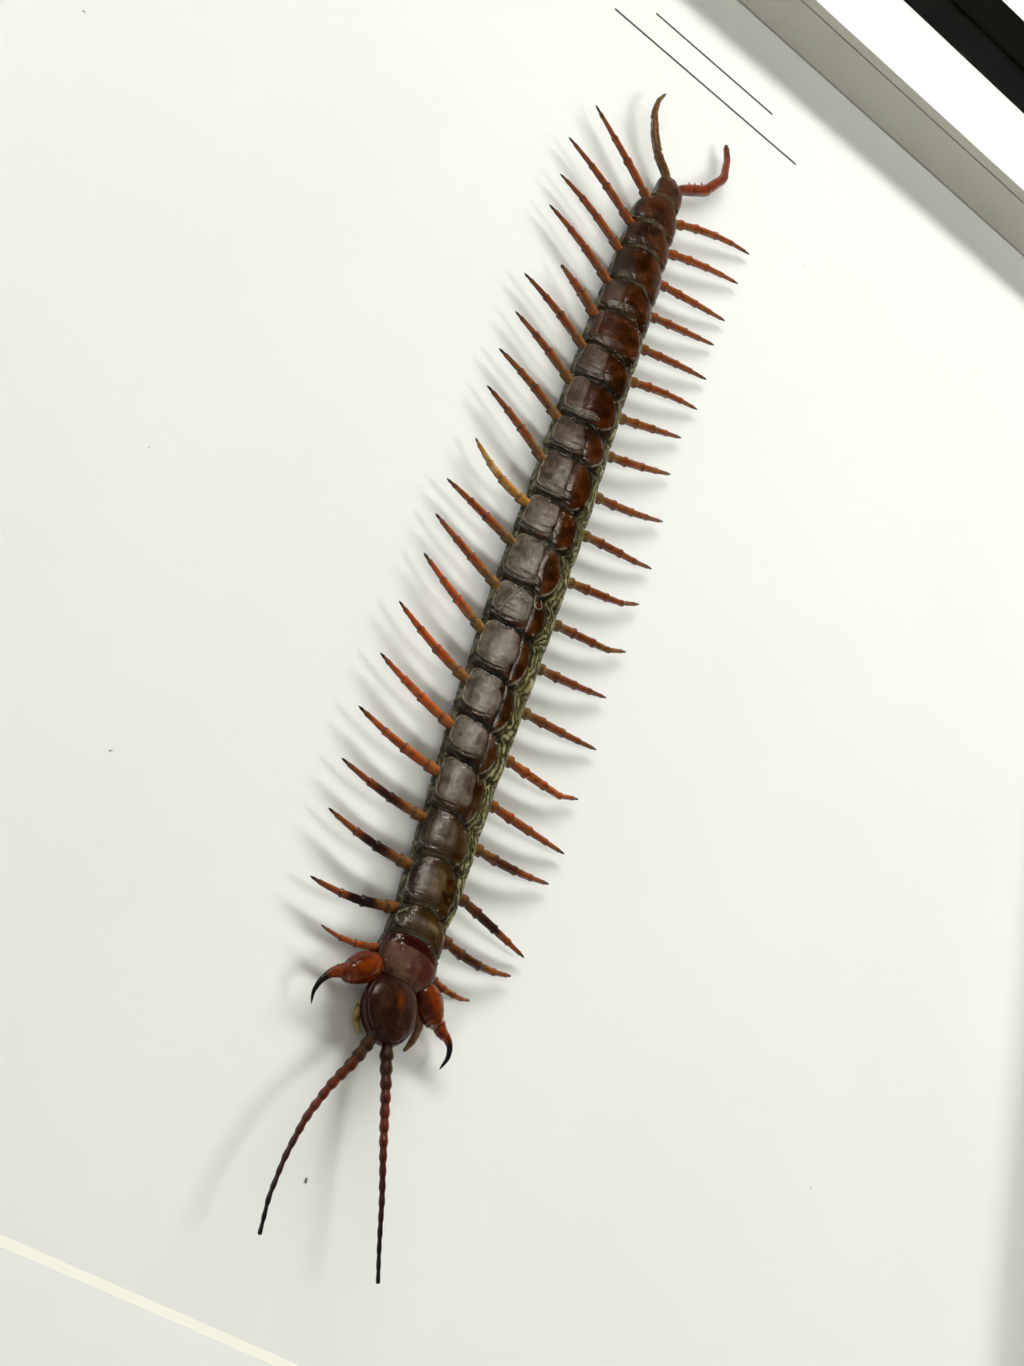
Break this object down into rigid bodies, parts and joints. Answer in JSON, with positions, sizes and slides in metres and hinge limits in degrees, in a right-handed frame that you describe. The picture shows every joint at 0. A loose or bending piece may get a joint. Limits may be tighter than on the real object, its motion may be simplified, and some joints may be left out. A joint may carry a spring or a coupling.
{
  "type": "framed giant centipede",
  "caption": "Dried giant centipede with its legs and antennae spread, mounted on white card behind glass in a black shadow-box frame with a white window mat.",
  "frame": {"origin": "middle of the frame's back, which is the plane that lies on a table or against a wall", "axes": "+Z out of the picture's face, +Y towards the top rail and the centipede's head, +X to the right of a viewer who looks at the face"},
  "size_m": [0.346, 0.397, 0.031],
  "materials": {
    "frame_black": "satin black paint",
    "hardboard": "raw",
    "backing_card": "matte",
    "foam_board": "matte",
    "mat_board": "matte",
    "glass": "clear, anti-reflection coated",
    "zinc_steel": "zinc plated",
    "shell": "semi-gloss dried shell"
  },
  "bodies": {
    "root": {"frame_rail_bottom": "frame_black", "frame_rail_right": "frame_black", "frame_rail_top": "frame_black", "frame_rail_left": "frame_black", "back_board": "hardboard", "backing_card": "backing_card", "spacer_bottom": "foam_board", "spacer_top": "foam_board", "spacer_left": "foam_board", "spacer_right": "foam_board", "mat_board": "mat_board", "glass_pane": "glass", "back_point_1": "zinc_steel", "back_point_2": "zinc_steel", "back_point_3": "zinc_steel", "back_point_4": "zinc_steel", "back_point_5": "zinc_steel", "back_point_6": "zinc_steel", "back_point_7": "zinc_steel", "back_point_8": "zinc_steel", "hanger": "zinc_steel", "hanger_nail_left": "zinc_steel", "hanger_nail_right": "zinc_steel", "centipede": "shell"}
  },
  "joints": []
}
